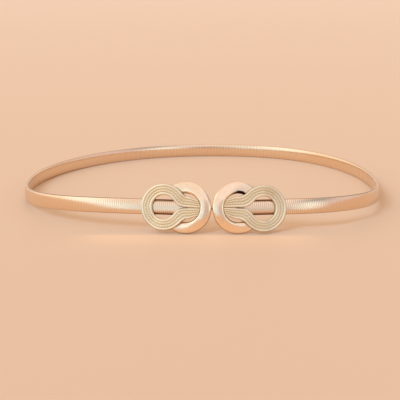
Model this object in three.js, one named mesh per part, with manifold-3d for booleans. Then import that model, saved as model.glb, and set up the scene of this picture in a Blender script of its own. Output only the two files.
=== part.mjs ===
// Chain belt: a stretch band of wound flat wire, standing on its edge as an open loop.
// Its two ends meet in front at a pair of buckle halves. Each half is a smooth open ring
// with a corded loop laid over the ring's two ends and into its hole.
// Millimetres, +Z up, the buckle faces -Y. The origin is the middle of the box, at its foot.

import * as THREE from 'three';
import Module from 'manifold-3d';
import { mergeVertices } from 'three/addons/utils/BufferGeometryUtils.js';

const wasm = await Module();
wasm.setup();

// Driving dimensions of the band
const BAND_HEIGHT = 7.0;
const BAND_THICKNESS = 2.0;
const WIRE_THICKNESS = 0.35;
const LOOP_DEPTH = 236.0;
const LEFT_REACH = 94.8;
const RIGHT_REACH = 82.8;
const RISE_LENGTH = 138.0;
const TWIST_LENGTH = 45.0;

// Driving dimensions of the buckle, whose halves turn back from the middle and lean back
const HALF_TURN = THREE.MathUtils.degToRad(9);
const LEAN = THREE.MathUtils.degToRad(10);
const RING_RADIUS = 11.75;
const RING_WIDTH = 5.4;
const RING_THICKNESS = 2.4;
const RING_END_THICKNESS = 1.2;
const RING_GAP = 0.3;
const CORD_WIDTH = 5.0;
const CORD_TAIL_WIDTH = 3.2;
const CORD_THICKNESS = 1.5;
const CORD_TAIL_LENGTH = 6.4;
const KNOT_RADIUS = 10.5;
const LEFT_KNOT_OFFSET = 9.8;
const RIGHT_KNOT_OFFSET = 11.35;
const RIGHT_DROOP = THREE.MathUtils.degToRad(3);
const STRAIGHT_PAST_KNOT = 1.2;

// Driving dimensions of the hidden clasp
const CAP_LENGTH = 4.3;
const TONGUE_LENGTH = 9.0;
const TONGUE_THICKNESS = 0.4;
const HOOK_HEIGHT = 4.0;
const HOOK_THICKNESS = 0.8;
const HOOK_BITE = 0.6;

// Every piece stands this far from its neighbour, and a fused piece sinks this far into the next
const CLEARANCE = 0.3;
const FUSE = 0.4;

// Shares that shape the loop: the handles of its four curves, and where it is widest
const LOOP_SHARES = {
  frontHandle: 0.27, // of the reach
  flankFrontHandle: 0.72, // of half the depth
  flankBackHandle: 0.42, // of half the depth
  backHandle: 0.72, // of the mean reach
  widest: -0.055, // of half the depth, from the loop's middle
};

// Roundness of the band's section, where 1 is an ellipse and less is boxier, and the share of
// the band's height that the tongue in its hollow can fill
const BAND_ROUNDNESS = 0.8;
const TONGUE_HEIGHT_SHARE = 0.6;
const BAND_SECTION_POINTS = 12;
const BAND_CURVE_STEPS = 18;

// The ring's dome springs from a low edge and is highest near the hole, at a share of the half
// width. The ring thins where the corded loop crosses it.
const RING_EDGE_SHARE = 0.4;
const RING_CREST = -0.55;
const RING_THINNING = [90, 118].map(THREE.MathUtils.degToRad);
const RING_DOME_STEPS = 8;
const RING_STEPS = 32;

// The corded strand: four ridges, and the angles round its loop where it climbs on to the ring
const CORD_RIDGES = 4;
const CORD_VALLEY_SHARE = 0.66;
const CORD_RIDGE_STEPS = 4;
const CORD_CLIMB = [45, 95].map(THREE.MathUtils.degToRad);
const CORD_LEAVES_CIRCLE = THREE.MathUtils.degToRad(140);
const CORD_SEAM = 0.16;
const CORD_HANDLE_SHARES = { loop: 0.42, tail: 0.3 };
const CORD_STEPS = { loop: 32, bend: 7, tail: 4 };

// Depths in front of the band's centreline, outwards from the loop
const BAND_FACE = BAND_THICKNESS / 2;
const PIECE_BACK = BAND_FACE + CLEARANCE;
const HOOK_FRONT = BAND_FACE;
const HOOK_TIP = PIECE_BACK + HOOK_BITE;
const TAIL_BACK = HOOK_TIP + CLEARANCE;
const CAP_FRONT = TAIL_BACK - CLEARANCE;

// Places along a buckle half, outwards from the middle where the two rings meet
const RING_REACH = RING_RADIUS * Math.hypot(Math.cos(HALF_TURN), Math.sin(LEAN) * Math.sin(HALF_TURN));
const RING_SETBACK = PIECE_BACK * Math.cos(LEAN) * Math.sin(HALF_TURN);
const RING_CENTRE = (RING_GAP / 2 + RING_REACH - RING_SETBACK) / Math.cos(HALF_TURN);
const RING_HOLE = RING_RADIUS - RING_WIDTH;
const RING_MIDDLE = RING_RADIUS - RING_WIDTH / 2;
const HOOK_START = RING_CENTRE - Math.sqrt(RING_HOLE ** 2 - (HOOK_HEIGHT / 2) ** 2) + CLEARANCE;
const CAP_START = HOOK_START + HOOK_THICKNESS + CLEARANCE;
const BAND_END = CAP_START + CAP_LENGTH + CLEARANCE;

// Height of the axis that the buckle leans back about, with both rings standing on the surface
const AXIS_HEIGHT = RING_RADIUS * Math.cos(LEAN) - PIECE_BACK * Math.sin(LEAN);
const RISE = AXIS_HEIGHT - BAND_HEIGHT / 2;

const SIDES = {
  left: { sign: -1, reach: LEFT_REACH, knotOffset: LEFT_KNOT_OFFSET, droop: 0 },
  right: { sign: 1, reach: RIGHT_REACH, knotOffset: RIGHT_KNOT_OFFSET, droop: RIGHT_DROOP },
};

const material = (color, roughness) => new THREE.MeshStandardMaterial({ color, roughness, metalness: 1 });

// Skins a row of outlines into one closed body. A cyclic row closes on itself, any other is capped.
function loft(outlines, cyclic = false) {
  const count = outlines[0].length;
  const points = outlines.flat();
  const triangles = [];
  const spans = cyclic ? outlines.length : outlines.length - 1;
  for (let row = 0; row < spans; row++) {
    const start = row * count;
    const after = ((row + 1) % outlines.length) * count;
    for (let j = 0; j < count; j++) {
      const k = (j + 1) % count;
      triangles.push([start + j, start + k, after + k], [start + j, after + k, after + j]);
    }
  }
  if (!cyclic) {
    [outlines[0], outlines.at(-1)].forEach((outline, end) => {
      const first = end * (outlines.length - 1) * count;
      const centre = outline.reduce((sum, p) => sum.add(p), new THREE.Vector3()).divideScalar(count);
      points.push(centre);
      for (let j = 0; j < count; j++) {
        const edge = [first + j, first + ((j + 1) % count)];
        triangles.push(end ? [...edge, points.length - 1] : [...edge.reverse(), points.length - 1]);
      }
    });
  }
  return closedGeometry(points, triangles);
}

// Turns points and triangles into a geometry whose faces point out
function closedGeometry(points, triangles) {
  const volume = triangles.reduce((sum, [a, b, c]) => {
    const normal = new THREE.Vector3().crossVectors(points[b], points[c]);
    return sum + points[a].dot(normal);
  }, 0);
  const faces = volume > 0 ? triangles : triangles.map(([a, b, c]) => [a, c, b]);
  const geometry = new THREE.BufferGeometry();
  geometry.setAttribute('position', new THREE.Float32BufferAttribute(points.flatMap((p) => p.toArray()), 3));
  geometry.setIndex(faces.flat());
  geometry.computeVertexNormals();
  return geometry;
}

// Joins closed geometries into one solid
function fuse(geometries) {
  const solids = geometries.map((source) => {
    const plain = source.clone();
    plain.deleteAttribute('normal');
    plain.deleteAttribute('uv');
    const merged = mergeVertices(plain);
    return new wasm.Manifold(new wasm.Mesh({
      numProp: 3,
      vertProperties: new Float32Array(merged.attributes.position.array),
      triVerts: new Uint32Array(merged.index.array),
    }));
  });
  const mesh = solids.reduce((all, solid) => all.add(solid)).getMesh();
  const geometry = new THREE.BufferGeometry();
  geometry.setAttribute('position', new THREE.Float32BufferAttribute(mesh.vertProperties, 3));
  geometry.setIndex([...mesh.triVerts]);
  geometry.computeVertexNormals();
  return geometry;
}

// A point of the plan: along a half from the middle of the buckle, then out in front of the band
function planPoint(side, along, out) {
  const x = along * Math.cos(HALF_TURN) + out * Math.sin(HALF_TURN);
  const y = along * Math.sin(HALF_TURN) - out * Math.cos(HALF_TURN);
  return new THREE.Vector3(side.sign * x, y - LOOP_DEPTH / 2, 0);
}

// The curves of the band's centreline on one side, from its end behind the buckle to the back
function sideCurves(side) {
  const halfDepth = LOOP_DEPTH / 2;
  const meanReach = (LEFT_REACH + RIGHT_REACH) / 2;
  const end = planPoint(side, BAND_END, 0);
  const straight = RING_CENTRE + side.knotOffset + KNOT_RADIUS + STRAIGHT_PAST_KNOT;
  const leave = planPoint(side, straight, 0);
  const frontHandle = planPoint(side, straight + LOOP_SHARES.frontHandle * side.reach, 0);
  const widest = new THREE.Vector3(side.sign * side.reach, LOOP_SHARES.widest * halfDepth, 0);
  const back = new THREE.Vector3(0, halfDepth, 0);
  const along = (x, y) => new THREE.Vector3(x, y, 0);
  const flankFront = along(widest.x, widest.y - LOOP_SHARES.flankFrontHandle * halfDepth);
  const flankBack = along(widest.x, widest.y + LOOP_SHARES.flankBackHandle * halfDepth);
  const backHandle = along(side.sign * LOOP_SHARES.backHandle * meanReach, halfDepth);
  return [
    { curve: new THREE.LineCurve3(end, leave), steps: 2 },
    { curve: new THREE.CubicBezierCurve3(leave, frontHandle, flankFront, widest), steps: BAND_CURVE_STEPS },
    { curve: new THREE.CubicBezierCurve3(widest, flankBack, backHandle, back), steps: BAND_CURVE_STEPS },
  ];
}

// Stations of one side of the band: place, direction, lift off its foot, and how far it leans in
function sideStations(side) {
  const stations = [];
  const curves = sideCurves(side);
  curves.forEach(({ curve, steps }, piece) => {
    for (let i = piece ? 1 : 0; i <= steps; i++) {
      stations.push({ place: curve.getPoint(i / steps), heading: curve.getTangent(i / steps) });
    }
  });
  let travelled = -curves[0].curve.getLength();
  stations.forEach((station, i) => {
    travelled += i ? station.place.distanceTo(stations[i - 1].place) : 0;
    station.lift = RISE * (1 - THREE.MathUtils.smoothstep(travelled, 0, RISE_LENGTH));
    station.lean = LEAN * (1 - THREE.MathUtils.smoothstep(travelled, 0, TWIST_LENGTH));
  });
  return stations;
}

// One outline of the band's lens section, drawn in from the surface by the inset
function bandOutline({ place, heading, lift, lean }, inset) {
  const inward = new THREE.Vector3(heading.y, -heading.x, 0).normalize();
  const outline = [];
  for (let i = 0; i < BAND_SECTION_POINTS; i++) {
    const angle = (i / BAND_SECTION_POINTS) * 2 * Math.PI;
    const cos = Math.cos(angle);
    const across = (BAND_THICKNESS / 2 - inset) * Math.sign(cos) * Math.abs(cos) ** BAND_ROUNDNESS;
    const up = (BAND_HEIGHT / 2 - inset) * Math.sin(angle);
    const offset = across * Math.cos(lean) + up * Math.sin(lean);
    const height = lift + BAND_HEIGHT / 2 + up * Math.cos(lean) - across * Math.sin(lean);
    outline.push(place.clone().addScaledVector(inward, offset).setZ(height));
  }
  return outline;
}

// The wound band: a hollow flat tube, open at both ends
function bandGeometry() {
  const left = sideStations(SIDES.left);
  const right = sideStations(SIDES.right).reverse().slice(1);
  right.forEach((station) => station.heading.negate());
  const stations = [...left, ...right];
  const outer = stations.map((station) => bandOutline(station, 0));
  const inner = stations.map((station) => bandOutline(station, WIRE_THICKNESS)).reverse();
  return loft([...outer, ...inner], true);
}

// Angle from the ring's inward point to the cut end, which hides under the middle of the cord
function ringEndAngle(side) {
  const cordMiddle = KNOT_RADIUS - CORD_WIDTH / 2;
  const meets = (side.knotOffset ** 2 + RING_MIDDLE ** 2 - cordMiddle ** 2) / (2 * side.knotOffset);
  return Math.PI / 2 + Math.asin(meets / RING_MIDDLE);
}

// The ring's thickness at an angle from its inward point
function ringThickness(angle) {
  const thinned = THREE.MathUtils.smoothstep(Math.abs(angle), ...RING_THINNING);
  return THREE.MathUtils.lerp(RING_THICKNESS, RING_END_THICKNESS, thinned);
}

// Height of the ring's domed face above its back, at a share of its half width from its middle
function domeHeight(share, thickness) {
  const fromCrest = (share - RING_CREST) / (share > RING_CREST ? 1 - RING_CREST : 1 + RING_CREST);
  const dome = Math.sqrt(Math.max(0, 1 - fromCrest ** 2));
  return thickness * (RING_EDGE_SHARE + (1 - RING_EDGE_SHARE) * dome);
}

// A point of a buckle half in its own frame: along, up from its axis, and out in front of the band.
// The half hangs from the middle of its ring, so its far end can droop.
function halfPoint(side, along, up, out) {
  const reach = along - RING_CENTRE;
  const hungAlong = RING_CENTRE + reach * Math.cos(side.droop) + up * Math.sin(side.droop);
  const hungUp = up * Math.cos(side.droop) - reach * Math.sin(side.droop);
  return new THREE.Vector3(side.sign * hungAlong, -out, hungUp);
}

// The smooth ring, open where the band passes, with a flat back and a domed face
function ringGeometry(side) {
  const end = ringEndAngle(side);
  const outlines = [];
  for (let i = 0; i <= RING_STEPS; i++) {
    const angle = THREE.MathUtils.lerp(-end, end, i / RING_STEPS);
    const thickness = ringThickness(angle);
    const at = (share, height) => {
      const radius = RING_MIDDLE + (share * RING_WIDTH) / 2;
      const along = RING_CENTRE - radius * Math.cos(angle);
      return halfPoint(side, along, radius * Math.sin(angle), PIECE_BACK + height);
    };
    const outline = [at(1, 0)];
    for (let j = 0; j <= RING_DOME_STEPS; j++) {
      const share = Math.cos((j / RING_DOME_STEPS) * Math.PI);
      outline.push(at(share, domeHeight(share, thickness)));
    }
    outline.push(at(-1, 0));
    outlines.push(outline);
  }
  return loft(outlines);
}

// The tail's middle line. It keeps the tail's inner edge on the seam while the tail narrows.
class CordTail extends THREE.Curve {
  constructor(from, to, width) {
    super();
    Object.assign(this, { from, to, width });
  }

  getPoint(t, target = new THREE.Vector2()) {
    return target.set(THREE.MathUtils.lerp(this.from, this.to, t), (this.width(t) + CORD_SEAM) / 2);
  }

  getTangent(t, target = new THREE.Vector2()) {
    return target.set(-1, 0);
  }
}

// Stations of one half of the corded strand, from the far end of its loop to its tail in the ring
function cordStations(side) {
  const centre = new THREE.Vector2(RING_CENTRE + side.knotOffset, 0);
  const radius = KNOT_RADIUS - CORD_WIDTH / 2;
  const tailEnd = RING_CENTRE - RING_HOLE + CLEARANCE;
  const arc = new THREE.EllipseCurve(centre.x, centre.y, radius, radius, 0, CORD_LEAVES_CIRCLE);
  const from = arc.getPoint(1);
  const to = new THREE.Vector2(tailEnd + CORD_TAIL_LENGTH, (CORD_WIDTH + CORD_SEAM) / 2);
  const distance = from.distanceTo(to);
  const bend = new THREE.CubicBezierCurve(
    from,
    from.clone().addScaledVector(arc.getTangent(1), CORD_HANDLE_SHARES.loop * distance),
    to.clone().add(new THREE.Vector2(CORD_HANDLE_SHARES.tail * distance, 0)),
    to,
  );
  const climbing = (t) => THREE.MathUtils.smoothstep(t * CORD_LEAVES_CIRCLE, ...CORD_CLIMB);
  const easing = (t) => THREE.MathUtils.smoothstep(t, 0, 1);
  const narrowing = (t) => THREE.MathUtils.lerp(CORD_WIDTH, CORD_TAIL_WIDTH, easing(t));
  const tail = new CordTail(to.x, tailEnd, narrowing);
  const pieces = [
    { curve: arc, steps: CORD_STEPS.loop / 2, climb: climbing, sink: () => 0, width: () => CORD_WIDTH },
    { curve: bend, steps: CORD_STEPS.bend, climb: () => 1, sink: easing, width: () => CORD_WIDTH },
    { curve: tail, steps: CORD_STEPS.tail, climb: () => 1, sink: () => 1, width: narrowing },
  ];
  return pieces.flatMap(({ curve, steps, climb, sink, width }, piece) => {
    const stations = [];
    for (let i = piece ? 1 : 0; i <= steps; i++) {
      const t = i / steps;
      const heading = curve.getTangent(t);
      stations.push({
        place: curve.getPoint(t),
        outward: new THREE.Vector2(heading.y, -heading.x),
        width: width(t),
        climb: climb(t),
        sink: sink(t),
      });
    }
    return stations;
  });
}

// How far out the cord's back must stand to clear the ring that it crosses
function crossingBack(side, stations) {
  const end = ringEndAngle(side);
  const heights = stations.flatMap(({ place, outward, width }) => [-1, -0.5, 0, 0.5, 1].map((share) => {
    const spot = place.clone().addScaledVector(outward, (share * width) / 2);
    const fromRing = new THREE.Vector2(RING_CENTRE - spot.x, spot.y);
    const angle = Math.abs(fromRing.angle() > Math.PI ? fromRing.angle() - 2 * Math.PI : fromRing.angle());
    const across = (fromRing.length() - RING_MIDDLE) / (RING_WIDTH / 2);
    const onRing = Math.abs(across) <= 1 && angle <= end;
    return onRing ? domeHeight(across, ringThickness(angle)) : 0;
  }));
  return PIECE_BACK + Math.max(...heights) + CLEARANCE;
}

// The ridged front of the cord as pairs: share of the half width, and height above its back
function cordProfile() {
  const steps = CORD_RIDGES * CORD_RIDGE_STEPS;
  const profile = [[1, 0]];
  for (let i = 0; i <= steps; i++) {
    const ridge = Math.abs(Math.sin((i / CORD_RIDGE_STEPS) * Math.PI));
    const height = CORD_THICKNESS * THREE.MathUtils.lerp(CORD_VALLEY_SHARE, 1, ridge);
    profile.push([1 - (2 * i) / steps, height]);
  }
  profile.push([-1, 0]);
  return profile;
}

// The corded loop: one flat ridged strand, looped over the ring's ends, its two tails in the ring
function knotGeometry(side) {
  const upper = cordStations(side);
  const crossing = crossingBack(side, upper);
  const profile = cordProfile();
  const hole = RING_HOLE - CLEARANCE;
  const outlineAt = (station, mirror, last) => {
    const climbed = THREE.MathUtils.lerp(PIECE_BACK, crossing, station.climb);
    const back = THREE.MathUtils.lerp(climbed, TAIL_BACK, station.sink);
    return profile.map(([share, height]) => {
      const spot = station.place.clone().addScaledVector(station.outward, (share * station.width) / 2);
      const along = last ? RING_CENTRE - Math.sqrt(hole ** 2 - spot.y ** 2) : spot.x;
      return halfPoint(side, along, mirror * spot.y, back + height);
    });
  };
  const tip = upper.length - 1;
  const top = upper.map((station, i) => outlineAt(station, 1, i === tip)).reverse();
  const bottom = upper.slice(1).map((station, i) => outlineAt(station, -1, i === tip - 1));
  return loft([...top, ...bottom]);
}

// The corners of a clasp strip's section as pairs: out in front of the band, and up from the axis
const stripCorners = ([back, front], height) => [
  [back, -height / 2], [front, -height / 2], [front, height / 2], [back, height / 2],
];

// Where a corner comes to in the plan and in height once it leans back
const leaned = ([out, up]) => ({
  forward: out * Math.cos(LEAN) - up * Math.sin(LEAN),
  height: AXIS_HEIGHT + up * Math.cos(LEAN) + out * Math.sin(LEAN),
});

// One section of a clasp strip, at a place along a half
function sectionAt(side, along, depths, height) {
  return stripCorners(depths, height).map(leaned).map((corner) => {
    return planPoint(side, along, corner.forward).setZ(corner.height);
  });
}

// One section of a clasp strip, in the plane where the two halves meet
function sectionBetween(depths, height) {
  return stripCorners(depths, height).map(leaned).map((corner) => {
    return new THREE.Vector3(0, -LOOP_DEPTH / 2 - corner.forward / Math.cos(HALF_TURN), corner.height);
  });
}

// A straight block of the clasp: from and to along a half, back and front in depth, and its height
function block(side, [from, to], depths, height) {
  return loft([sectionAt(side, from, depths, height), sectionAt(side, to, depths, height)]);
}

// The band's end fitting: a cap behind the cord's tails, with a tongue in the hollow of the band
function capGeometry(side) {
  const capEnd = CAP_START + CAP_LENGTH;
  const tongueHalf = TONGUE_THICKNESS / 2;
  const tongueHeight = TONGUE_HEIGHT_SHARE * BAND_HEIGHT;
  return fuse([
    block(side, [CAP_START, capEnd], [-BAND_FACE, CAP_FRONT], BAND_HEIGHT),
    block(side, [capEnd - FUSE, BAND_END + TONGUE_LENGTH], [-tongueHalf, tongueHalf], tongueHeight),
  ]);
}

// The flat hook: from the left cap, behind both rings, its tip turned up inside the right ring
function hookGeometry() {
  const depths = [HOOK_FRONT - HOOK_THICKNESS, HOOK_FRONT];
  const hookEnd = HOOK_START + HOOK_THICKNESS;
  const strip = loft([
    sectionAt(SIDES.left, CAP_START + FUSE, depths, HOOK_HEIGHT),
    sectionBetween(depths, HOOK_HEIGHT),
    sectionAt(SIDES.right, hookEnd, depths, HOOK_HEIGHT),
  ]);
  const tip = block(SIDES.right, [HOOK_START, hookEnd], [HOOK_FRONT - FUSE, HOOK_TIP], HOOK_HEIGHT);
  return fuse([capGeometry(SIDES.left), strip, tip]);
}

function named(name, geometry, finish) {
  const mesh = new THREE.Mesh(geometry, finish);
  mesh.name = name;
  return mesh;
}

// One buckle half: the ring and the corded loop, turned with the loop's front and leaning back
function buckleHalf(name, side) {
  const half = new THREE.Group();
  half.add(named(`ring_${name}`, ringGeometry(side), material(0xf0d3b4, 0.15)));
  half.add(named(`knot_${name}`, knotGeometry(side), material(0xd8bd95, 0.35)));
  half.position.set(0, -LOOP_DEPTH / 2, AXIS_HEIGHT);
  half.rotation.set(-LEAN, 0, side.sign * HALF_TURN, 'ZXY');
  return half;
}

const belt = new THREE.Group();
belt.add(named('band', bandGeometry(), material(0xe6c3a0, 0.3)));
belt.add(buckleHalf('left', SIDES.left));
belt.add(buckleHalf('right', SIDES.right));
belt.add(named('clasp_hook', hookGeometry(), material(0xd9b58f, 0.4)));
belt.add(named('end_cap', capGeometry(SIDES.right), material(0xd9b58f, 0.4)));

// The origin goes to the middle of the box in plan, at its foot
const box = new THREE.Box3().setFromObject(belt);
const middle = box.getCenter(new THREE.Vector3());
belt.position.set(-middle.x, -middle.y, -box.min.z);

const part = new THREE.Group();
part.add(belt);
part.updateMatrixWorld(true);

export default part;
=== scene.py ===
"""Dresses a stretch belt of wound flat wire, with its buckle of rings and corded loops.

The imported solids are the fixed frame. Sizes here are in millimetres, as on the part's own
drawing, and turn to metres where points are made.
"""
import logging
import math
from dataclasses import dataclass, field
from enum import Enum

import bmesh
import bpy
import numpy as np
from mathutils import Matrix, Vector


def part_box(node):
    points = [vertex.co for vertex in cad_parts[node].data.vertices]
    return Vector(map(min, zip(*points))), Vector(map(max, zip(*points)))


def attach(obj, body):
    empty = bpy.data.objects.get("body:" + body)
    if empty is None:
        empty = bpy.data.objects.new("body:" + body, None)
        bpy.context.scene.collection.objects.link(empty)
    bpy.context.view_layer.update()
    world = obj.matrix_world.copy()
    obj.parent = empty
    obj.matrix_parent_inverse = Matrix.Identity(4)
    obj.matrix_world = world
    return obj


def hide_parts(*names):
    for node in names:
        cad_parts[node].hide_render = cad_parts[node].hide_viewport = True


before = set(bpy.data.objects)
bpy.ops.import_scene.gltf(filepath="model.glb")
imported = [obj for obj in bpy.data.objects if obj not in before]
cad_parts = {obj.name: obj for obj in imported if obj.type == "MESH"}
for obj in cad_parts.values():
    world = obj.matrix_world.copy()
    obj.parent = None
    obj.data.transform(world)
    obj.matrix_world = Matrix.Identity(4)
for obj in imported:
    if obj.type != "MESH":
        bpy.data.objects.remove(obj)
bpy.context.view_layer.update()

MM = 0.001
BODY = "root"
log = logging.getLogger("belt")


class Side(Enum):
    """The two sides of the belt, seen from in front; the value is the sign of x."""

    LEFT = -1
    RIGHT = 1

    @property
    def word(self) -> str:
        """The side's name in piece names."""
        return self.name.lower()


def linear(hex_colour: str) -> tuple[float, float, float, float]:
    """Turns an sRGB hex colour to linear values.

    Args:
        hex_colour: six hex digits, without a sign in front.

    Returns:
        Red, green, blue and a full alpha, as Blender's sockets take them.
    """
    channels = [int(hex_colour[i:i + 2], 16) / 255 for i in (0, 2, 4)]
    low = 0.04045
    values = [c / 12.92 if c <= low else ((c + 0.055) / 1.055) ** 2.4 for c in channels]
    return (values[0], values[1], values[2], 1.0)


def smooth(value: np.ndarray | float, start: float, end: float) -> np.ndarray:
    """A smooth step from 0 at start to 1 at end.

    Args:
        value: where to read the step.
        start: the last place with 0.
        end: the first place with 1.

    Returns:
        The step's height at each value.
    """
    share = np.clip((np.asarray(value, float) - start) / (end - start), 0, 1)
    return share * share * (3 - 2 * share)


def bezier(points: list[np.ndarray], steps: int) -> np.ndarray:
    """Samples a cubic curve.

    Args:
        points: its four control points.
        steps: how many spans to cut it into.

    Returns:
        The points, steps + 1 rows.
    """
    t = np.linspace(0, 1, steps + 1)[:, None]
    weights = ((1 - t) ** 3, 3 * (1 - t) ** 2 * t, 3 * (1 - t) * t ** 2, t ** 3)
    return sum(weight * point for weight, point in zip(weights, points))


def lofted(name: str, rows: np.ndarray, cyclic: bool = False, sharp_deg: float = 50.0) -> bpy.types.Object:
    """Skins rows of points into one closed mesh object with its faces out.

    Args:
        name: the object's name.
        rows: an array of rows, points and xyz, in metres.
        cyclic: whether the last row joins the first. If not, both ends are capped.
        sharp_deg: edges that turn more than this stay sharp.

    Returns:
        The object, linked to the scene.
    """
    count, width = rows.shape[:2]
    index = np.arange(count * width).reshape(count, width)
    start = index if cyclic else index[:-1]
    after = np.roll(index, -1, axis=0) if cyclic else index[1:]
    quads = np.stack([start, np.roll(start, -1, 1), np.roll(after, -1, 1), after], -1).reshape(-1, 4)
    faces = quads.tolist()
    if not cyclic:
        faces += [index[0][::-1].tolist(), index[-1].tolist()]
    points = rows.reshape(-1, 3)
    corners = points[quads]
    normals = np.cross(corners[:, 2] - corners[:, 0], corners[:, 3] - corners[:, 1])
    if (normals * corners.mean(1)).sum() < 0:
        faces = [face[::-1] for face in faces]
    mesh = bpy.data.meshes.new(name)
    mesh.from_pydata(points.tolist(), [], faces)
    mesh.shade_smooth()
    mesh.set_sharp_from_angle(angle=math.radians(sharp_deg))
    mesh.update()
    made = bpy.data.objects.new(name, mesh)
    bpy.context.scene.collection.objects.link(made)
    return made


def mark(made: bpy.types.Object, name: str, values: np.ndarray) -> None:
    """Stores one number for each point of a mesh, for a finish to read.

    Args:
        made: the mesh object.
        name: the attribute's name.
        values: a number for each point, in the order of the rows.
    """
    attribute = made.data.attributes.new(name, "FLOAT", "POINT")
    attribute.data.foreach_set("value", np.ravel(values).astype(np.float32))


def add_node(
    tree: bpy.types.NodeTree, kind: str, inputs: dict | None = None, **settings: object,
) -> bpy.types.Node:
    """Adds a node with its settings, values and links.

    Args:
        tree: the material's node tree.
        kind: the node's type name.
        inputs: for each input socket, a value or the output socket that feeds it.
        **settings: the node's own properties.

    Returns:
        The node.
    """
    node = tree.nodes.new(kind)
    for name, value in settings.items():
        setattr(node, name, value)
    for socket, source in (inputs or {}).items():
        if isinstance(source, bpy.types.NodeSocket):
            tree.links.new(source, node.inputs[socket])
        else:
            node.inputs[socket].default_value = source
    return node


class Relief(Enum):
    """How a plated surface was made, which sets how its grain runs and what its tone follows."""

    WOUND = "windings"
    POLISHED = "polished casting"
    CORDED = "corded casting"
    BENT = "bent sheet"


@dataclass(frozen=True)
class PaleGoldPlate:
    """Pale gold plate over steel or cast zinc, one finish for each way the metal was made."""

    name: str
    relief: Relief
    bright: str
    dull: str
    roughness: float
    roughness_spread: float
    grain_mm: float
    bump_mm: float
    # Colour of the painted shade, mixed into the finish where a piece's mesh marks shade.
    painted_shade: str = "6B3A1A"
    grain_detail: float = 4.0
    grain_breakup: float = 0.6
    grain_range: tuple[float, float] = (0.3, 0.7)
    grain_share: float = 0.5
    winding_stretch: float = 0.12

    @property
    def follows_crowns(self) -> bool:
        """Whether the tone follows crowns and grooves, not the grain alone."""
        return self.relief in (Relief.WOUND, Relief.CORDED)

    def material(self) -> bpy.types.Material:
        """Builds the finish.

        Returns:
            A node material that reads only the surface's own place and marks.
        """
        made = bpy.data.materials.new(self.name)
        made.use_nodes = True
        tree = made.node_tree
        tree.nodes.clear()
        place = add_node(tree, "ShaderNodeTexCoord").outputs["Object"]
        upright = self.winding_stretch if self.relief is Relief.WOUND else 1.0
        scaled = add_node(tree, "ShaderNodeMapping", {"Vector": place, "Scale": (1.0, 1.0, upright)})
        grain = add_node(tree, "ShaderNodeTexNoise", {
            "Vector": scaled.outputs["Vector"], "Scale": 1 / (self.grain_mm * MM),
            "Detail": self.grain_detail, "Roughness": self.grain_breakup,
        })
        tone = self._tone(tree, grain.outputs["Fac"])
        colour = add_node(tree, "ShaderNodeMix", {
            "Factor": tone, "A": linear(self.dull), "B": linear(self.bright),
        }, data_type="RGBA")
        # Mixes in the painted shade colour where the mesh marks painted shade.
        if self.relief is not Relief.BENT:
            painted_shade_node = add_node(tree, "ShaderNodeAttribute", attribute_name="painted_shade")
            colour = add_node(tree, "ShaderNodeMix", {
                "Factor": painted_shade_node.outputs["Fac"], "A": colour.outputs["Result"], "B": linear(self.painted_shade),
            }, data_type="RGBA")
        gloss = add_node(tree, "ShaderNodeMapRange", {
            "Value": tone, "To Min": self.roughness + self.roughness_spread, "To Max": self.roughness,
        })
        relief = add_node(tree, "ShaderNodeBump", {
            "Height": grain.outputs["Fac"], "Distance": self.bump_mm * MM, "Strength": 1.0,
        })
        shader = add_node(tree, "ShaderNodeBsdfPrincipled", {
            "Base Color": colour.outputs["Result"], "Metallic": 1.0,
            "Roughness": gloss.outputs["Result"], "Normal": relief.outputs["Normal"],
        })
        add_node(tree, "ShaderNodeOutputMaterial", {"Surface": shader.outputs["BSDF"]})
        return made

    def _tone(self, tree: bpy.types.NodeTree, grain: bpy.types.NodeSocket) -> bpy.types.NodeSocket:
        """What the tone follows: the mark on the mesh, broken up by the grain.

        Args:
            tree: the material's node tree.
            grain: the fine noise.

        Returns:
            A number from 0, dull, to 1, bright.
        """
        if not self.follows_crowns:
            low, high = self.grain_range
            spread = add_node(tree, "ShaderNodeMapRange", {"Value": grain, "From Min": low, "From Max": high})
            return spread.outputs["Result"]
        crown = add_node(tree, "ShaderNodeAttribute", attribute_name="crown")
        middle = sum(self.grain_range) / 2
        broken = add_node(tree, "ShaderNodeMath", {0: grain, 1: middle}, operation="SUBTRACT")
        part = add_node(tree, "ShaderNodeMath", {
            0: broken.outputs[0], 1: self.grain_share,
        }, operation="MULTIPLY")
        total = add_node(tree, "ShaderNodeMath", {
            0: crown.outputs["Fac"], 1: part.outputs[0],
        }, operation="ADD", use_clamp=True)
        return total.outputs[0]


# Close-wound flat steel wire, plated after winding: the flat faces mirror the room with a soft edge,
# the grain runs up each winding, and the grooves between windings stay darker. Brown painted shade
# lies along the two narrow edges, darkest where the band runs behind the buckle.
WOUND_WIRE = PaleGoldPlate(
    "pale gold plated wound steel wire", Relief.WOUND, bright="F6DEC2", dull="DDB07E",
    roughness=0.14, roughness_spread=0.10, grain_mm=0.12, bump_mm=0.004,
)
# Polished casting: nearly a mirror, with the faint unevenness that a buffed casting keeps. Almost
# black painted shade lies along the hole's upper edge and round the rim, where the metal mirrors shade.
POLISHED_CAST = PaleGoldPlate(
    "pale gold plated zinc, polished", Relief.POLISHED, bright="FCE3C4", dull="F6DAB8",
    roughness=0.10, roughness_spread=0.06, grain_mm=1.6, bump_mm=0.010, painted_shade="2E1608",
)
# Corded casting: duller, with a greenish cast, worn bright on the cords' crowns. Brown painted
# shade lies in the seam where the two tails meet and along the strand's outer edge.
CORDED_CAST = PaleGoldPlate(
    "pale gold plated zinc, cast cords", Relief.CORDED, bright="F4ECD4", dull="D8C7A0",
    roughness=0.36, roughness_spread=0.14, grain_mm=0.5, bump_mm=0.010,
)
# Bent sheet behind the buckle: plain plate with small scuffs.
BENT_SHEET = PaleGoldPlate(
    "pale gold plated steel sheet, bent", Relief.BENT, bright="F8E2C0", dull="E6C79A",
    roughness=0.32, roughness_spread=0.12, grain_mm=0.8, bump_mm=0.006,
)


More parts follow.
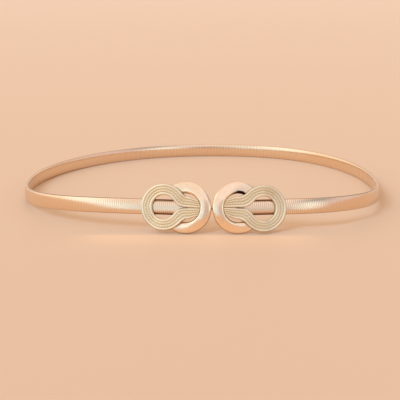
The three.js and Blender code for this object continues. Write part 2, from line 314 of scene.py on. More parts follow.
@dataclass
class Buckle:
    """Sizes of the buckle's two halves, in millimetres and degrees."""

    half_turn_deg: float = 9.0
    lean_deg: float = 10.0
    ring_radius: float = 11.75
    ring_width: float = 5.4
    ring_thickness: float = 2.4
    ring_end_thickness: float = 1.2
    ring_gap: float = 0.3
    ring_snug: float = 0.12
    ring_edge_share: float = 0.4
    ring_crest: float = -0.55
    ring_cones: dict = field(default_factory=lambda: {Side.LEFT: (0.28, 2.0), Side.RIGHT: (0.40, 1.35)})
    ring_round: float = 0.25
    ring_thinning_deg: tuple[float, float] = (25.0, 124.0)
    cord_width: float = 5.0
    cord_tail_width: float = 3.6
    cord_thickness: float = 1.5
    cord_tail_length: float = 6.4
    cord_climb_deg: tuple[float, float] = (45.0, 95.0)
    cord_leaves_deg: float = 140.0
    cord_seam: float = 0.16
    cord_loop_handle: float = 0.42
    cord_tail_handle: float = 0.3
    knot_radius: float = 10.5
    knot_offsets: dict = field(default_factory=lambda: {Side.LEFT: 9.8, Side.RIGHT: 11.35})
    droops_deg: dict = field(default_factory=lambda: {Side.LEFT: 0.0, Side.RIGHT: 3.0})
    clearance: float = 0.3
    hook_bite: float = 0.6
    band_face: float = 1.0
    straight_past_knot: float = 1.2
    cap_length: float = 4.3
    hook_height: float = 4.0
    hook_thickness: float = 0.8

    @property
    def turn(self) -> float:
        """How far each half turns back from the middle, in radians."""
        return math.radians(self.half_turn_deg)

    @property
    def lean(self) -> float:
        """How far the buckle leans back, in radians."""
        return math.radians(self.lean_deg)

    @property
    def piece_back(self) -> float:
        """Depth of the backs of the rings and loops, in front of the band's centreline."""
        return self.band_face + self.clearance

    @property
    def tail_back(self) -> float:
        """Depth of the cord's back in the ring's hole."""
        return self.piece_back + self.hook_bite + self.clearance

    @property
    def ring_hole(self) -> float:
        """The ring's inner radius."""
        return self.ring_radius - self.ring_width

    @property
    def ring_middle(self) -> float:
        """The radius of the middle of the ring's width."""
        return self.ring_radius - self.ring_width / 2

    @property
    def ring_centre(self) -> float:
        """Where the ring's centre lies along its half."""
        reach = self.ring_radius * math.hypot(math.cos(self.turn), math.sin(self.lean) * math.sin(self.turn))
        setback = self.piece_back * math.cos(self.lean) * math.sin(self.turn)
        return (self.ring_gap / 2 + reach - setback) / math.cos(self.turn)

    @property
    def ring_shown(self) -> float:
        """Where the dressed ring's centre lies: the rings all but touch in the middle."""
        return self.ring_centre - self.ring_snug

    @property
    def axis_height(self) -> float:
        """Height of the band's centreline behind the buckle, with the rings on the surface."""
        return self.ring_radius * math.cos(self.lean) - self.piece_back * math.sin(self.lean)

    @property
    def band_end(self) -> float:
        """Where the band ends along a half, behind the cord's tails."""
        inset = math.sqrt(self.ring_hole ** 2 - (self.hook_height / 2) ** 2)
        hook = self.ring_centre - inset + self.clearance
        return hook + self.hook_thickness + self.cap_length + 2 * self.clearance

    def straight_end(self, side: Side) -> float:
        """Where the band leaves the line of its half."""
        return self.ring_centre + self.knot_offsets[side] + self.knot_radius + self.straight_past_knot

    def ring_end_angle(self, side: Side) -> float:
        """Angle from the ring's inward point to its cut end, under the middle of the cord."""
        offset = self.knot_offsets[side]
        cord_middle = self.knot_radius - self.cord_width / 2
        meets = (offset ** 2 + self.ring_middle ** 2 - cord_middle ** 2) / (2 * offset)
        return math.pi / 2 + math.asin(meets / self.ring_middle)

    def ring_height(self, side: Side, angle: np.ndarray, across: np.ndarray) -> np.ndarray:
        """Height of the ring's face above its back: a round lip at the hole, then a shallow cone.

        Args:
            side: which ring.
            angle: from the ring's inward point, in radians.
            across: from -1 at the hole to 1 at the rim.

        Returns:
            The height in millimetres.
        """
        start, end = (math.radians(value) for value in self.ring_thinning_deg)
        thinned = smooth(np.abs(angle), start, end)
        thickness = self.ring_thickness + (self.ring_end_thickness - self.ring_thickness) * thinned
        inner = np.clip((self.ring_crest - across) / (1 + self.ring_crest), 0, 1)
        outer = np.clip((across - self.ring_crest) / (1 - self.ring_crest), 0, 1)
        rim = np.clip((outer - 1 + self.ring_round) / self.ring_round, 0, 1)
        cone, curve = self.ring_cones[side]
        whole = 1 - self.ring_edge_share
        lip = whole * (1 - np.sqrt(1 - inner ** 2))
        rounding = (whole - cone) * (1 - np.sqrt(1 - rim ** 2))
        return thickness * (1 - lip - cone * outer ** curve - rounding)


@dataclass
class LoopPlan:
    """The route of the band's centreline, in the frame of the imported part."""

    buckle: Buckle
    height: float = 7.0
    thickness: float = 2.0
    depth: float = 236.0
    reaches: dict = field(default_factory=lambda: {Side.LEFT: 94.8, Side.RIGHT: 82.8})
    rise_length: float = 138.0
    twist_length: float = 45.0
    front_handle: float = 0.27
    flank_front_handle: float = 0.72
    flank_back_handle: float = 0.42
    back_handle: float = 0.72
    widest: float = -0.055
    steps: int = 400
    straight_steps: int = 50

    def __post_init__(self) -> None:
        """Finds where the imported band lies, then samples the route."""
        low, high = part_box("band")
        self.shift = np.array([
            low.x / MM + self.reaches[Side.LEFT] + self.thickness / 2,
            high.y / MM - self.depth / 2 - self.thickness / 2,
        ])
        sides = {side: self._side(side) for side in Side}
        right = sides[Side.RIGHT][::-1][1:]
        self.points = np.concatenate([sides[Side.LEFT], right])
        self.along = np.concatenate([[0], np.cumsum(np.linalg.norm(np.diff(self.points, axis=0), axis=1))])
        self.length = float(self.along[-1])
        headings = np.gradient(self.points, self.along, axis=0)
        self.headings = np.unwrap(np.arctan2(headings[:, 1], headings[:, 0]))
        straight = {side: self.buckle.straight_end(side) - self.buckle.band_end for side in Side}
        gone = np.minimum(self.along - straight[Side.LEFT], self.length - self.along - straight[Side.RIGHT])
        rise = self.buckle.axis_height - self.height / 2
        self.heights = self.height / 2 + rise * (1 - smooth(gone, 0, self.rise_length))
        self.leans = self.buckle.lean * (1 - smooth(gone, 0, self.twist_length))

    def plan_point(self, side: Side, along: float, out: float = 0.0) -> np.ndarray:
        """A point of the plan.

        Args:
            side: which half.
            along: along the half from the middle of the buckle.
            out: in front of the band's centreline.

        Returns:
            x and y in millimetres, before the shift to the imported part's origin.
        """
        turn = self.buckle.turn
        x = along * math.cos(turn) + out * math.sin(turn)
        return np.array([side.value * x, along * math.sin(turn) - out * math.cos(turn) - self.depth / 2])

    def _side(self, side: Side) -> np.ndarray:
        """The plan of one side, from the band's end behind the buckle to the back.

        Args:
            side: which side.

        Returns:
            Rows of x and y.
        """
        half = self.depth / 2
        reach = self.reaches[side]
        mean = sum(self.reaches.values()) / 2
        straight = self.buckle.straight_end(side)
        end = self.plan_point(side, self.buckle.band_end)
        leave = self.plan_point(side, straight)
        handle = self.plan_point(side, straight + self.front_handle * reach)
        wide = np.array([side.value * reach, self.widest * half])
        flank_front = wide - [0, self.flank_front_handle * half]
        flank_back = wide + [0, self.flank_back_handle * half]
        back = np.array([0.0, half])
        back_out = back + [side.value * self.back_handle * mean, 0]
        straight_part = np.linspace(end, leave, self.straight_steps)
        front = bezier([leave, handle, flank_front, wide], self.steps)
        rear = bezier([wide, flank_back, back_out, back], self.steps)
        return np.concatenate([straight_part, front[1:], rear[1:]]) + self.shift

    def surface(self, along: np.ndarray, across: np.ndarray, up: np.ndarray) -> np.ndarray:
        """Points round the band.

        Args:
            along: distance along the band in millimetres.
            across: distance in front of the centreline.
            up: distance above the centreline.

        Returns:
            Points in metres.
        """
        place = [np.interp(along, self.along, self.points[:, i]) for i in range(2)]
        heading = np.interp(along, self.along, self.headings)
        height = np.interp(along, self.along, self.heights)
        lean = np.interp(along, self.along, self.leans)
        out = across * np.cos(lean) - up * np.sin(lean)
        rise = across * np.sin(lean) + up * np.cos(lean)
        x = place[0] - out * np.sin(heading)
        y = place[1] + out * np.cos(heading)
        return np.stack([x, y, height + rise], -1) * MM

    def half_point(self, side: Side, along: np.ndarray, up: np.ndarray, out: np.ndarray) -> np.ndarray:
        """Points of a buckle half.

        Args:
            side: which half.
            along: along the half from the middle of the buckle.
            up: above the line through the middles of the rings.
            out: in front of the band's centreline.

        Returns:
            Points in metres.
        """
        lean, turn = self.buckle.lean, self.buckle.turn
        droop = math.radians(self.buckle.droops_deg[side])
        reach = along - self.buckle.ring_centre
        along = self.buckle.ring_centre + reach * math.cos(droop) + up * math.sin(droop)
        up = up * math.cos(droop) - reach * math.sin(droop)
        forward = out * math.cos(lean) - up * math.sin(lean)
        height = self.buckle.axis_height + up * math.cos(lean) + out * math.sin(lean)
        x = side.value * (along * math.cos(turn) + forward * math.sin(turn)) + self.shift[0]
        y = along * math.sin(turn) - forward * math.cos(turn) - self.depth / 2 + self.shift[1]
        return np.stack([x, y, np.broadcast_to(height, np.shape(x))], -1) * MM


@dataclass
class WoundBand:
    """The stretch band: flat wire wound side by side into a hollow flat tube.

    The real windings may lie closer than the pitch here. They are drawn as far apart as they need
    to be to show at the photograph's scale.
    """

    plan: LoopPlan
    pitch: float = 0.9
    groove: float = 0.035
    wall: float = 0.5
    roundness: float = 0.54
    edge_crowding: float = 0.5
    section_points: int = 28
    inner_spans: int = 150
    # Painted shade along the band's two narrow edges: stronger near the buckle, strongest behind the loops.
    painted_edge_shade: float = 0.25
    painted_front_edge_shade: float = 0.9
    painted_edge_shade_span: tuple[float, float] = (0.93, 0.99)
    front_edge_fades: tuple[float, float] = (50.0, 110.0)
    painted_shade_behind: float = 0.9
    painted_shade_behind_span: tuple[float, float] = (0.66, 0.84)
    behind_ends: float = 4.0
    profile: tuple = ((0.0, 1.0, 0.0), (0.16, 0.15, 0.8), (0.5, 0.0, 1.0), (0.84, 0.15, 0.8))

    def build(self) -> bpy.types.Object:
        """Makes the windings from the profile's rows of phase, depth and tone, and dresses them.

        Returns:
            The band.
        """
        turns = round(self.plan.length / self.pitch)
        pitch = self.plan.length / turns
        phases = np.array([phase for phase, _, _ in self.profile])
        depths = np.array([depth for _, depth, _ in self.profile]) * self.groove
        along = (np.arange(turns)[:, None] + phases).ravel() * pitch
        along = np.append(along, self.plan.length)
        inset = np.append(np.tile(depths, turns), self.groove)
        crown = np.append(np.tile([tone for _, _, tone in self.profile], turns), 0.0)
        outer = self._rows(along, inset, pitch)
        back_along = np.linspace(self.plan.length, 0, self.inner_spans)
        inner = self._rows(back_along, np.full(self.inner_spans, self.wall), 0)
        band = lofted("band_windings", np.concatenate([outer, inner]), cyclic=True)
        tones = np.concatenate([crown, np.zeros(self.inner_spans)])
        mark(band, "crown", np.repeat(tones, self.section_points))
        # Marks the painted shade along the band's edges.
        mark(band, "painted_shade", self._painted_shade(np.concatenate([along, back_along])))
        band.data.materials.append(WOUND_WIRE.material())
        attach(band, BODY)
        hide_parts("band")
        return band

    def _section_angles(self) -> np.ndarray:
        """Angles of the section's points from the front face, closer together at the narrow edges."""
        even = np.linspace(0, 2 * math.pi, self.section_points, endpoint=False)
        return even + self.edge_crowding * np.sin(2 * even) / 2

    def _painted_shade(self, along: np.ndarray) -> np.ndarray:
        """Painted shade along the tube's two narrow edges, darker and wider behind the buckle's loops.

        Args:
            along: each row's distance along the band.

        Returns:
            A number from 0, no painted shade, to 1, full painted shade, for each point.
        """
        edge = np.abs(np.sin(self._section_angles()))[None, :]
        buckle = self.plan.buckle
        ends = {side: buckle.straight_end(side) - buckle.band_end - self.behind_ends for side in Side}
        past = np.minimum(along - ends[Side.LEFT], self.plan.length - along - ends[Side.RIGHT])
        behind = (1 - smooth(past, 0, 1))[:, None]
        near = (1 - smooth(past, *self.front_edge_fades))[:, None]
        strength = self.painted_edge_shade + (self.painted_front_edge_shade - self.painted_edge_shade) * near
        open_edge = strength * smooth(edge, *self.painted_edge_shade_span)
        hidden_edge = self.painted_shade_behind * smooth(edge, *self.painted_shade_behind_span)
        return open_edge + (hidden_edge - open_edge) * behind

    def _rows(self, along: np.ndarray, inset: np.ndarray, lead: float) -> np.ndarray:
        """Rows of points round the band, each turned on by the wire's lead.

        Args:
            along: each row's distance along the band.
            inset: how far each row lies under the band's surface.
            lead: how far the wire moves along in one turn.

        Returns:
            Rows of points in metres.
        """
        angle = self._section_angles()
        across = np.sign(np.cos(angle)) * np.abs(np.cos(angle)) ** self.roundness
        half_thick = self.plan.thickness / 2 - inset[:, None]
        half_high = self.plan.height / 2 - inset[:, None]
        led = np.clip(along[:, None] + lead * (angle / (2 * math.pi) - 0.5), 0, self.plan.length)
        return self.plan.surface(led, half_thick * across, half_high * np.sin(angle))


@dataclass
class SmoothRing:
    """One polished ring of the buckle, open where the band passes."""

    plan: LoopPlan
    side: Side
    # Painted shade: a dark crescent along the hole's upper edge, and a dark line round the rim, strongest at
    # the bottom.
    painted_crescent_widths: dict = field(default_factory=lambda: {Side.LEFT: 0.5, Side.RIGHT: 1.6})
    painted_crescent_depths: dict = field(default_factory=lambda: {Side.LEFT: 0.55, Side.RIGHT: 1.0})
    rim_ease: float = 0.03
    painted_crescent_softness: float = 0.2
    painted_rim_shade: float = 0.7
    painted_rim_shade_least: float = 0.12
    painted_rim_shade_width: float = 0.4
    painted_crescent_degs: dict = field(default_factory=lambda: {Side.LEFT: (52.0, 126.0), Side.RIGHT: (12.0, 128.0)})
    painted_crescent_skew: dict = field(default_factory=lambda: {Side.LEFT: 1.0, Side.RIGHT: 2.2})
    painted_crescent_grows: float = 0.7
    painted_rim_shade_lows: tuple[float, float] = (0.1, 0.7)
    angle_steps: int = 112
    dome_steps: int = 26

    def build(self) -> bpy.types.Object:
        """Makes the ring and dresses it.

        Returns:
            The ring.
        """
        buckle = self.plan.buckle
        end = buckle.ring_end_angle(self.side)
        angle = np.linspace(-end, end, self.angle_steps)[:, None]
        across = np.cos(np.linspace(0, math.pi, self.dome_steps))[None, :]
        height = buckle.ring_height(self.side, angle, across)
        flat = np.zeros((self.angle_steps, 1))
        across = np.concatenate([[[1.0]], across, [[-1.0]]], 1)
        height = np.concatenate([flat, height, flat], 1)
        radius = buckle.ring_middle + across * (buckle.ring_width / 2 - self.rim_ease)
        along = buckle.ring_shown - radius * np.cos(angle)
        points = self.plan.half_point(self.side, along, radius * np.sin(angle), buckle.piece_back + height)
        ring = lofted(f"smooth_ring_{self.side.word}", points)
        # Marks the painted shade of the hole's upper edge and the rim.
        mark(ring, "painted_shade", self._painted_shade(angle, radius - buckle.ring_hole))
        ring.data.materials.append(POLISHED_CAST.material())
        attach(ring, BODY)
        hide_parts(f"ring_{self.side.word}")
        return ring

    def _painted_shade(self, angle: np.ndarray, from_hole: np.ndarray) -> np.ndarray:
        """Painted shade along the hole's upper edge and round the rim, darker towards the bottom.

        Args:
            angle: from the ring's inward point, in radians, for each row.
            from_hole: distance from the hole's edge for each point, in millimetres.

        Returns:
            A number from 0, no painted shade, to 1, full painted shade, for each point.
        """
        start, end = (math.radians(value) for value in self.painted_crescent_degs[self.side])
        share = np.clip((angle - start) / (end - start), 0, 1)
        width = self.painted_crescent_widths[self.side] * np.sin(math.pi * share ** self.painted_crescent_skew[self.side])
        depth = self.painted_crescent_depths[self.side] * smooth(share, 0, self.painted_crescent_grows)
        upper = depth * smooth(width - from_hole, 0, self.painted_crescent_softness) * (share > 0)
        lower = smooth(-np.sin(angle), *self.painted_rim_shade_lows)
        low = self.painted_rim_shade_least + (1 - self.painted_rim_shade_least) * lower
        edge = self.plan.buckle.ring_width
        rim = smooth(from_hole, edge - self.painted_rim_shade_width, edge)
        return np.maximum(upper, self.painted_rim_shade * low * rim)


@dataclass
class CordedLoop:
    """One corded loop: a flat strand of two plain rims and two twisted cords between them."""

    plan: LoopPlan
    side: Side
    ridges: int = 4
    twisted: tuple[int, int] = (1, 2)
    ridge_steps: int = 10
    twist_pitch: float = 1.25
    twist_height: float = 0.08
    twist_slant: float = 0.7
    valley_share: float = 0.8
    drape: float = 1.3
    skin_gap: float = 0.06
    tail_overlap: float = 0.35
    least_thickness: float = 0.1
    spread: float = 0.5
    tail_holds: float = 0.12
    # Painted shade in the seam where the two tails meet, and along the outer edge, more on the lower half.
    painted_seam_shade: float = 0.8
    seam_width: float = 0.22
    seam_starts: tuple[float, float] = (0.5, 0.75)
    seam_fades: float = 0.3
    painted_edge_shade: float = 0.55
    painted_edge_shade_width: float = 0.1
    upper_share: float = 0.5
    plain_tone: float = 0.3
    twist_tone: float = 0.38
    under_steps: int = 7
    loop_steps: int = 110
    bend_steps: int = 34
    tail_steps: int = 20

    def build(self) -> bpy.types.Object:
        """Makes the strand and dresses it.

        Returns:
            The corded loop.
        """
        upper = self._stations()
        crossing = self._crossing_back(upper)
        rows = [self._outline(upper, i, mirror=1, crossing=crossing) for i in range(len(upper["along"]))]
        lower = [self._outline(upper, i, mirror=-1, crossing=crossing) for i in range(1, len(upper["along"]))]
        rows = rows[::-1] + lower
        points = np.array([points for points, _, _ in rows])
        knot = lofted(f"corded_loop_{self.side.word}", points, sharp_deg=60)
        mark(knot, "crown", np.array([tones for _, tones, _ in rows]))
        # Marks the painted shade of the seam and the outer edge.
        mark(knot, "painted_shade", np.array([painted_shades for _, _, painted_shades in rows]))
        knot.data.materials.append(CORDED_CAST.material())
        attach(knot, BODY)
        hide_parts(f"knot_{self.side.word}")
        return knot

    def _stations(self) -> dict[str, np.ndarray]:
        """The upper half of the strand's route, from the far end of its loop to its tail.

        Returns:
            Arrays of place, outward direction, width, climb on to the ring, sinking into its hole,
            bow of the tail's end, meeting of the two tails, and distance along.
        """
        buckle = self.plan.buckle
        centre = np.array([buckle.ring_centre + buckle.knot_offsets[self.side], 0.0])
        radius = buckle.knot_radius - buckle.cord_width / 2
        leaves = math.radians(buckle.cord_leaves_deg)
        turn = np.linspace(0, leaves, self.loop_steps + 1)
        arc = centre + radius * np.stack([np.cos(turn), np.sin(turn)], -1)
        tail_end = buckle.ring_shown - buckle.ring_hole - self.tail_overlap
        to = np.array([
            buckle.ring_centre - buckle.ring_hole + buckle.cord_tail_length,
            (buckle.cord_width + buckle.cord_seam) / 2,
        ])
        distance = float(np.linalg.norm(arc[-1] - to))
        heading = np.array([-math.sin(leaves), math.cos(leaves)])
        bend = bezier([
            arc[-1], arc[-1] + heading * buckle.cord_loop_handle * distance,
            to + [buckle.cord_tail_handle * distance, 0], to,
        ], self.bend_steps)
        narrowed = smooth(np.linspace(0, 1, self.tail_steps + 1), self.tail_holds, 1)
        tail_widths = buckle.cord_width + (buckle.cord_tail_width - buckle.cord_width) * narrowed
        tail_along = np.linspace(to[0], tail_end, self.tail_steps + 1)
        tail = np.stack([tail_along, (tail_widths + buckle.cord_seam) / 2], -1)
        place = np.concatenate([arc, bend[1:], tail[1:]])
        headings = np.gradient(place, axis=0)
        headings[-self.tail_steps:] = [-1, 0]
        headings /= np.linalg.norm(headings, axis=1, keepdims=True)
        start, end = (math.radians(value) for value in buckle.cord_climb_deg)
        climb = np.concatenate([smooth(turn, start, end), np.ones(self.bend_steps + self.tail_steps)])
        sink = np.concatenate([
            np.zeros(len(arc)), smooth(np.linspace(0, 1, self.bend_steps + 1), 0, 1)[1:],
            np.ones(self.tail_steps),
        ])
        bow = np.linspace(0, 1, self.tail_steps + 1)[1:] ** 2
        spread = self.spread * np.sin(np.linspace(0, math.pi, self.bend_steps + 1)[1:]) ** 2
        steps = np.linalg.norm(np.diff(place, axis=0), axis=1)
        return {
            "place": place,
            "outward": np.stack([headings[:, 1], -headings[:, 0]], -1),
            "width": np.concatenate([
                np.full(len(arc), buckle.cord_width), buckle.cord_width + spread, tail_widths[1:],
            ]),
            "climb": climb,
            "sink": sink,
            "bow": np.concatenate([np.zeros(len(place) - self.tail_steps), bow]),
            "meets": np.concatenate([
                np.zeros(len(arc)), smooth(np.linspace(0, 1, self.bend_steps), *self.seam_starts),
                1 - smooth(np.linspace(0, 1, self.tail_steps), 0, self.seam_fades),
            ]),
            "along": np.concatenate([[0], np.cumsum(steps)]),
        }

    def _crossing_back(self, upper: dict[str, np.ndarray]) -> float:
        """How far out the cord's back stands to clear the ring that it crosses.

        Args:
            upper: the stations of the strand.

        Returns:
            The depth in front of the band's centreline.
        """
        buckle = self.plan.buckle
        shares = np.array([-1, -0.5, 0, 0.5, 1])[:, None] * buckle.cord_width / 2
        crossing = len(upper["place"]) - self.tail_steps
        spots = upper["place"][:crossing, None] + upper["outward"][:crossing, None] * shares
        return float(self._ring_depth(spots).max()) + buckle.clearance

    def _outline(
        self, upper: dict[str, np.ndarray], i: int, mirror: int, crossing: float,
    ) -> tuple[np.ndarray, ...]:
        """One outline across the strand.

        Args:
            upper: the stations of the strand.
            i: which station.
            mirror: 1 for the upper half of the loop, -1 for the lower.
            crossing: the depth of the cord's back where it crosses the ring.

        Returns:
            The points in metres, and the tone and the painted shade of each.
        """
        buckle = self.plan.buckle
        count = self.ridges * self.ridge_steps
        across = np.linspace(1, -1, count + 1)
        phase = (1 - across) / 2 * self.ridges
        ridge = np.abs(np.sin(phase * math.pi))
        which = np.minimum(phase.astype(int), self.ridges - 1)
        slant = np.where(which == self.twisted[0], 1.0, -1.0)
        turns = mirror * upper["along"][i] / self.twist_pitch + slant * (phase - which) * self.twist_slant
        twist = np.cos(2 * math.pi * turns)
        is_cord = np.isin(which, self.twisted)
        height = buckle.cord_thickness * (self.valley_share + (1 - self.valley_share) * ridge)
        height = height + np.where(is_cord, self.twist_height * ridge * (twist - 1), 0)
        corded = ridge * (1 - self.twist_tone + self.twist_tone * twist)
        tone = np.where(is_cord, corded, self.plain_tone + (1 - self.plain_tone) * ridge)
        climbed = buckle.piece_back + (crossing - buckle.piece_back) * upper["climb"][i]
        back = climbed + (buckle.tail_back - climbed) * upper["sink"][i]
        under = np.linspace(-1, 1, self.under_steps)
        across = np.concatenate([across, under])
        spot = upper["place"][i] + upper["outward"][i] * (across[:, None] * upper["width"][i] / 2)
        end_radius = buckle.ring_hole + self.tail_overlap
        arc_depth = end_radius - np.sqrt(np.clip(end_radius ** 2 - spot[:, 1] ** 2, 0, None))
        spot[:, 0] += upper["bow"][i] * arc_depth
        hang = self.drape * upper["climb"][i] * (1 - upper["sink"][i])
        depth = np.concatenate([back + height, self._underside(spot[-self.under_steps:], back, hang)])
        tone = np.clip(np.concatenate([tone, np.zeros(self.under_steps)]), 0, 1)
        # Painted shade in the seam and along the outer edge, stronger on the lower half.
        seam = self.painted_seam_shade * upper["meets"][i] * smooth(-across, 1 - self.seam_width, 1)
        low = 1.0 if mirror < 0 else self.upper_share
        painted_shade = np.maximum(seam, self.painted_edge_shade * low * smooth(across, 1 - self.painted_edge_shade_width, 1))
        return self.plan.half_point(self.side, spot[:, 0], mirror * spot[:, 1], depth), tone, painted_shade

    def _underside(self, spots: np.ndarray, back: float, hang: float) -> np.ndarray:
        """Depth of the strand's underside, which hangs down on to the ring that it crosses.

        Args:
            spots: places along the half and above its axis.
            back: the depth of the strand's back.
            hang: how far the underside may hang below that.

        Returns:
            A depth for each spot.
        """
        on_ring = self._ring_depth(spots) + self.skin_gap
        thinnest = back + self.plan.buckle.cord_thickness * self.valley_share - self.least_thickness
        return np.clip(on_ring, back - hang, thinnest)

    def _ring_depth(self, spots: np.ndarray) -> np.ndarray:
        """Depth of the ring's face at each spot, or of its back where there is no ring.

        Args:
            spots: places along the half and above its axis.

        Returns:
            Depths in front of the band's centreline.
        """
        buckle = self.plan.buckle
        reach = spots - [buckle.ring_shown, 0]
        angle = np.abs(np.arctan2(reach[..., 1], -reach[..., 0]))
        across = (np.linalg.norm(reach, axis=-1) - buckle.ring_middle) / (buckle.ring_width / 2)
        on_ring = (np.abs(across) <= 1) & (angle <= buckle.ring_end_angle(self.side))
        height = buckle.ring_height(self.side, angle, np.clip(across, -1, 1))
        return buckle.piece_back + np.where(on_ring, height, 0)


@dataclass
class HiddenClasp:
    """The hook and end cap behind the buckle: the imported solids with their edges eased."""

    plan: LoopPlan
    edge: float = 0.15
    edge_segments: int = 2
    neck_from: float = 2.4
    neck_to: float = 1.2
    neck_share: float = 0.35

    def build(self) -> list[bpy.types.Object]:
        """Eases the edges of both solids and dresses them.

        Returns:
            The two pieces.
        """
        finish = BENT_SHEET.material()
        made = []
        for node, name in (("clasp_hook", "hook_plate"), ("end_cap", "cap_plate")):
            piece = bpy.data.objects.new(name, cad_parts[node].data.copy())
            bpy.context.scene.collection.objects.link(piece)
            if node == "clasp_hook":
                self._narrow_neck(piece.data)
            piece.data.materials.clear()
            piece.data.materials.append(finish)
            ease = piece.modifiers.new("eased edges", "BEVEL")
            ease.width = self.edge * MM
            ease.segments = self.edge_segments
            ease.limit_method = "ANGLE"
            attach(piece, BODY)
            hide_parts(node)
            made.append(piece)
        return made

    def _narrow_neck(self, mesh: bpy.types.Mesh) -> None:
        """Narrows the hook where it passes between the two rings, so that it hides behind their rims.

        Args:
            mesh: the hook's mesh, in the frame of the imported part.
        """
        middle = self.plan.shift[0]
        axis = self.plan.buckle.axis_height * MM
        shaped = bmesh.new()
        shaped.from_mesh(mesh)
        for offset in (-self.neck_from, -self.neck_to, self.neck_to, self.neck_from):
            everything = shaped.verts[:] + shaped.edges[:] + shaped.faces[:]
            bmesh.ops.bisect_plane(
                shaped, geom=everything, plane_co=((middle + offset) * MM, 0, 0), plane_no=(1, 0, 0),
            )
        for vertex in shaped.verts:
            if abs(vertex.co.x / MM - middle) < (self.neck_from + self.neck_to) / 2:
                vertex.co.z = axis + (vertex.co.z - axis) * self.neck_share
        shaped.to_mesh(mesh)
        shaped.free()


@dataclass(frozen=True)
class Viewpoint:
    """Where the photograph was taken from, fitted to the outline of the loop."""

    distance: float = 0.8526
    elevation_deg: float = 9.65
    azimuth_deg: float = 0.905
    stands_at: tuple[float, float, float] = (-0.0012, 0.0015, 0.0)
    aims_at: tuple[float, float, float] = (-0.0012, 0.0006, -0.0053)
    focal_px: float = 1639.0
    frame_px: float = 400.0
    sensor_mm: float = 36.0
    clip: tuple[float, float] = (0.05, 50.0)

    def place(self) -> bpy.types.Object:
        """Makes the camera and gives it to the scene.

        Returns:
            The camera.
        """
        data = bpy.data.cameras.new("camera")
        data.sensor_width = self.sensor_mm
        data.lens = self.sensor_mm * self.focal_px / self.frame_px
        data.clip_start, data.clip_end = self.clip
        camera = bpy.data.objects.new("camera", data)
        bpy.context.scene.collection.objects.link(camera)
        turn, rise = math.radians(self.azimuth_deg), math.radians(self.elevation_deg)
        away = Vector((math.sin(turn) * math.cos(rise), -math.cos(turn) * math.cos(rise), math.sin(rise)))
        camera.location = Vector(self.stands_at) + away * self.distance
        camera.rotation_euler = (Vector(self.aims_at) - camera.location).to_track_quat("-Z", "Y").to_euler()
        bpy.context.scene.camera = camera
        return camera


@dataclass(frozen=True)
class Glow:
    """A soft bright part of the light tent, such as a large diffuser seen from the belt."""

    name: str
    azimuth_deg: float
    elevation_deg: float
    inner_deg: float
    outer_deg: float
    radiance: float
    colour: str

    @property
    def direction(self) -> tuple[float, float, float]:
        """Towards its middle. Azimuth 0 is straight in front of the buckle, and grows to the right."""
        turn, rise = math.radians(self.azimuth_deg), math.radians(self.elevation_deg)
        return (math.sin(turn) * math.cos(rise), -math.cos(turn) * math.cos(rise), math.sin(rise))

    @property
    def light(self) -> tuple[float, float, float, float]:
        """Its colour at its full strength."""
        return tuple(self.radiance * channel for channel in linear(self.colour)[:3]) + (1.0,)


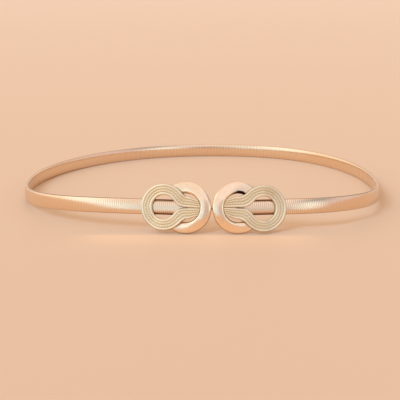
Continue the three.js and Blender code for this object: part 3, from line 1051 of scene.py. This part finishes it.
@dataclass
class Studio:
    """A plain pale floor under a light tent, with two lamps that light the floor alone."""

    floor_size: float = 14.0
    # The far colour is paler: painted light for the brighter floor towards the back.
    floor_near: str = "DAB48E"
    floor_far: str = "E7C29E"
    floor_fades: tuple[float, float] = (-0.4, 1.8)
    floor_roughness: float = 0.55
    # Each row: its name, azimuth, elevation, inner and outer edge in degrees, radiance and colour.
    # The surround is everywhere, and each later glow lies over the ones before it.
    surround: Glow = Glow("surround", 0.0, 0.0, 0.0, 0.0, 0.62, "FFE8D0")
    glows: tuple[Glow, ...] = (
        Glow("left wall", -130.0, 10.0, 32.0, 60.0, 1.18, "FFF4E6"),
        Glow("back wall", 180.0, 5.0, 15.0, 50.0, 0.95, "FFF8F0"),
        Glow("front fill", 10.0, 4.0, 20.0, 58.0, 0.70, "F4F2FF"),
        Glow("low right wall", 92.0, 8.0, 26.0, 46.0, 0.92, "F4E8F2"),
        Glow("right wall", 56.0, 38.0, 16.0, 36.0, 0.60, "E6EEFF"),
        Glow("front left fill", -25.0, 8.0, 12.0, 24.0, 1.20, "DEEFFF"),
        Glow("upper back", 180.0, 46.0, 20.0, 50.0, 1.0, "FFD8B8"),
        Glow("diffuser above", 0.0, 80.0, 24.0, 46.0, 1.04, "FFF0E2"),
        Glow("upper front", 6.0, 38.0, 20.0, 36.0, 1.04, "FFF6FC"),
        Glow("upper left", -36.0, 36.0, 14.0, 30.0, 0.99, "FFF7F4"),
        Glow("left diffuser", -74.0, 22.0, 14.0, 34.0, 1.45, "FDFEFF"),
        Glow("left strip", -46.0, 0.0, 11.0, 21.0, 1.45, "E6F4FF"),
        Glow("right strip", 44.0, 0.0, 12.0, 22.0, 1.40, "EAF6FF"),
        Glow("camera side", 2.0, 7.0, 6.0, 13.0, 0.67, "FFF2F4"),
    )
    key_towards: tuple[float, float, float] = (-0.8, -1.5, 1.0)
    key_angle_deg: float = 20.0
    key_energy: float = 2.84
    key_colour: str = "9CC7FF"
    bounce_at: tuple[float, float, float] = (0.0, -0.123, 0.012)
    bounce_towards: tuple[float, float, float] = (0.0, -1.0, -0.5)
    bounce_size: tuple[float, float] = (0.10, 0.018)
    bounce_radiance: float = 0.58
    bounce_colour: str = "FFDDB4"

    def build(self) -> None:
        """Lays the floor, sets the light tent and hangs the lamps."""
        floor = flat_floor(self.floor_size)
        floor.data.materials.append(self._floor_material())
        self._surround()
        bpy.context.scene.view_settings.view_transform = "Standard"
        self._key_light()
        self._bounce()

    def _key_light(self) -> bpy.types.Object:
        """Hangs one wide lamp far off in front, for the shadows. The metal mirrors the tent only.

        Returns:
            The lamp.
        """
        data = bpy.data.lights.new("key light", "SUN")
        data.energy = self.key_energy
        data.angle = math.radians(self.key_angle_deg)
        data.color = linear(self.key_colour)[:3]
        lamp = bpy.data.objects.new("key light", data)
        bpy.context.scene.collection.objects.link(lamp)
        lamp.visible_glossy = False
        lamp.rotation_euler = (-Vector(self.key_towards)).to_track_quat("-Z", "Y").to_euler()
        return lamp

    def _bounce(self) -> bpy.types.Object:
        """Throws the polished buckle's share of the key light back on to the floor in front of it.

        Returns:
            The lamp, a strip as wide as the buckle that neither the camera nor the metal sees.
        """
        width, height = self.bounce_size
        data = bpy.data.lights.new("buckle bounce", "AREA")
        data.shape = "RECTANGLE"
        data.size, data.size_y = width, height
        data.energy = self.bounce_radiance * math.pi * width * height
        data.color = linear(self.bounce_colour)[:3]
        lamp = bpy.data.objects.new("buckle bounce", data)
        bpy.context.scene.collection.objects.link(lamp)
        lamp.visible_glossy = False
        lamp.visible_camera = False
        lamp.location = self.bounce_at
        lamp.rotation_euler = Vector(self.bounce_towards).to_track_quat("-Z", "Y").to_euler()
        return lamp

    def _surround(self) -> None:
        """Sets the light tent: an even base with the glows laid over it."""
        world = bpy.data.worlds.new("light tent")
        bpy.context.scene.world = world
        world.use_nodes = True
        tree = world.node_tree
        direction = add_node(tree, "ShaderNodeTexCoord").outputs["Generated"]
        colour = self.surround.light
        for glow in self.glows:
            facing = add_node(tree, "ShaderNodeVectorMath", {
                0: direction, 1: glow.direction,
            }, operation="DOT_PRODUCT")
            share = add_node(tree, "ShaderNodeMapRange", {
                "Value": facing.outputs["Value"],
                "From Min": math.cos(math.radians(glow.outer_deg)),
                "From Max": math.cos(math.radians(glow.inner_deg)),
            }, interpolation_type="SMOOTHSTEP")
            colour = add_node(tree, "ShaderNodeMix", {
                "Factor": share.outputs["Result"], "A": colour, "B": glow.light,
            }, data_type="RGBA").outputs["Result"]
        tree.links.new(colour, tree.nodes["Background"].inputs["Color"])

    def _floor_material(self) -> bpy.types.Material:
        """Matt painted board: an even, pale tone without a shine, painted paler towards the back as painted
        light.

        Returns:
            The floor's material.
        """
        made = bpy.data.materials.new("matt painted board")
        made.use_nodes = True
        tree = made.node_tree
        tree.nodes.clear()
        place = add_node(tree, "ShaderNodeTexCoord").outputs["Object"]
        split = add_node(tree, "ShaderNodeSeparateXYZ", {"Vector": place})
        start, end = self.floor_fades
        far = add_node(tree, "ShaderNodeMapRange", {
            "Value": split.outputs["Y"], "From Min": start, "From Max": end,
        })
        colour = add_node(tree, "ShaderNodeMix", {
            "Factor": far.outputs["Result"], "A": linear(self.floor_near), "B": linear(self.floor_far),
        }, data_type="RGBA")
        shader = add_node(tree, "ShaderNodeBsdfPrincipled", {
            "Base Color": colour.outputs["Result"], "Roughness": self.floor_roughness,
        })
        add_node(tree, "ShaderNodeOutputMaterial", {"Surface": shader.outputs["BSDF"]})
        return made


def flat_floor(size: float) -> bpy.types.Object:
    """A flat square floor at the part's foot.

    Args:
        size: its side in metres.

    Returns:
        The floor.
    """
    half = size / 2
    mesh = bpy.data.meshes.new("floor")
    corners = [(-half, -half, 0), (half, -half, 0), (half, half, 0), (-half, half, 0)]
    mesh.from_pydata(corners, [], [(0, 1, 2, 3)])
    floor = bpy.data.objects.new("floor", mesh)
    bpy.context.scene.collection.objects.link(floor)
    return floor


def main() -> None:
    """Builds the camera, the studio and the belt, piece by piece."""
    logging.basicConfig(level=logging.INFO, format="%(name)s: %(message)s")
    Viewpoint().place()
    Studio().build()
    plan = LoopPlan(Buckle())
    pieces = [WoundBand(plan).build()]
    for side in Side:
        pieces += [SmoothRing(plan, side).build(), CordedLoop(plan, side).build()]
    pieces += HiddenClasp(plan).build()
    for piece in pieces:
        log.info("%s: %d faces", piece.name, len(piece.data.polygons))


if __name__ == "__main__":
    main()
